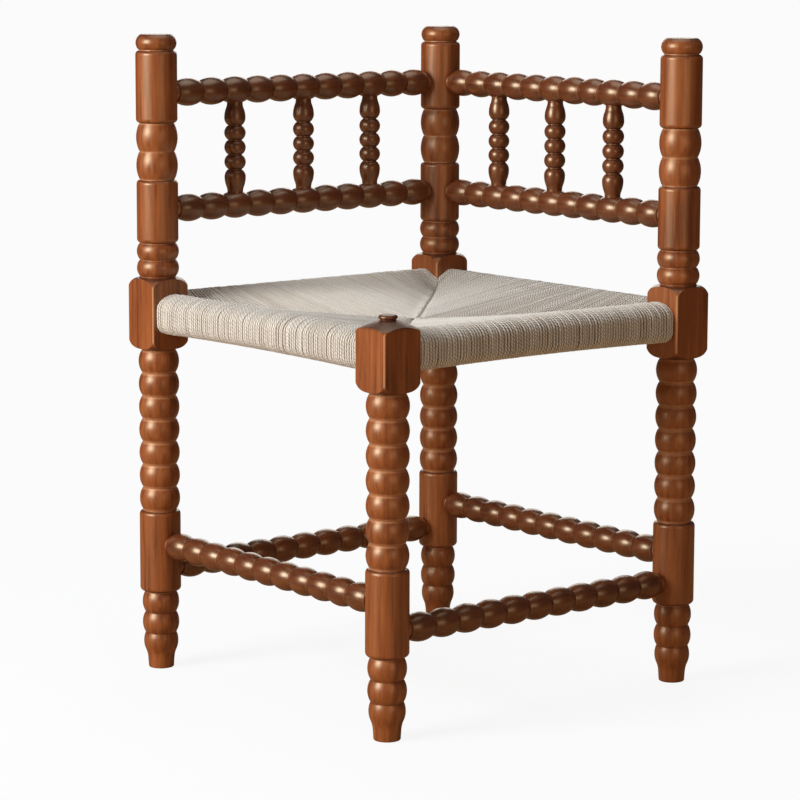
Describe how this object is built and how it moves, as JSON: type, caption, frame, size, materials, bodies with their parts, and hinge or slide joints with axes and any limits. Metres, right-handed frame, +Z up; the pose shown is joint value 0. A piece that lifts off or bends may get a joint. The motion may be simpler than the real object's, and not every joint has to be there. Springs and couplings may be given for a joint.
{
  "type": "corner chair",
  "caption": "Corner chair with a bobbin-turned wooden frame, two low spindle backs and a woven cord seat in an envelope pattern.",
  "frame": {"origin": "on the floor at the middle of the square of legs", "axes": "+Z up; the front leg stands at -X -Y, the back post at +X +Y, the left post at -X +Y and the right post at +X -Y"},
  "size_m": [0.48, 0.48, 0.75],
  "materials": {
    "stained_wood": "satin red-brown stain and wax on turned hardwood, fine grain along each piece",
    "plain_wood": "plain unstained wood, hidden inside the weave",
    "card": "folded brown card, hidden inside the weave",
    "paper_cord": "twisted paper cord, matt, light grey-beige, woven side by side"
  },
  "bodies": {
    "root": {"front_leg": "stained_wood", "right_post": "stained_wood", "back_post": "stained_wood", "left_post": "stained_wood", "front_right_stretcher": "stained_wood", "back_right_stretcher": "stained_wood", "back_left_stretcher": "stained_wood", "front_left_stretcher": "stained_wood", "back_right_top_rail": "stained_wood", "back_right_bottom_rail": "stained_wood", "back_right_spindle_1": "stained_wood", "back_right_spindle_2": "stained_wood", "back_right_spindle_3": "stained_wood", "back_left_top_rail": "stained_wood", "back_left_bottom_rail": "stained_wood", "back_left_spindle_1": "stained_wood", "back_left_spindle_2": "stained_wood", "back_left_spindle_3": "stained_wood", "front_right_seat_rail": "plain_wood", "back_right_seat_rail": "plain_wood", "back_left_seat_rail": "plain_wood", "front_left_seat_rail": "plain_wood", "front_right_insert": "card", "back_right_insert": "card", "back_left_insert": "card", "front_left_insert": "card", "front_right_cord_panel": "paper_cord", "back_right_cord_panel": "paper_cord", "back_left_cord_panel": "paper_cord", "front_left_cord_panel": "paper_cord"}
  },
  "joints": []
}
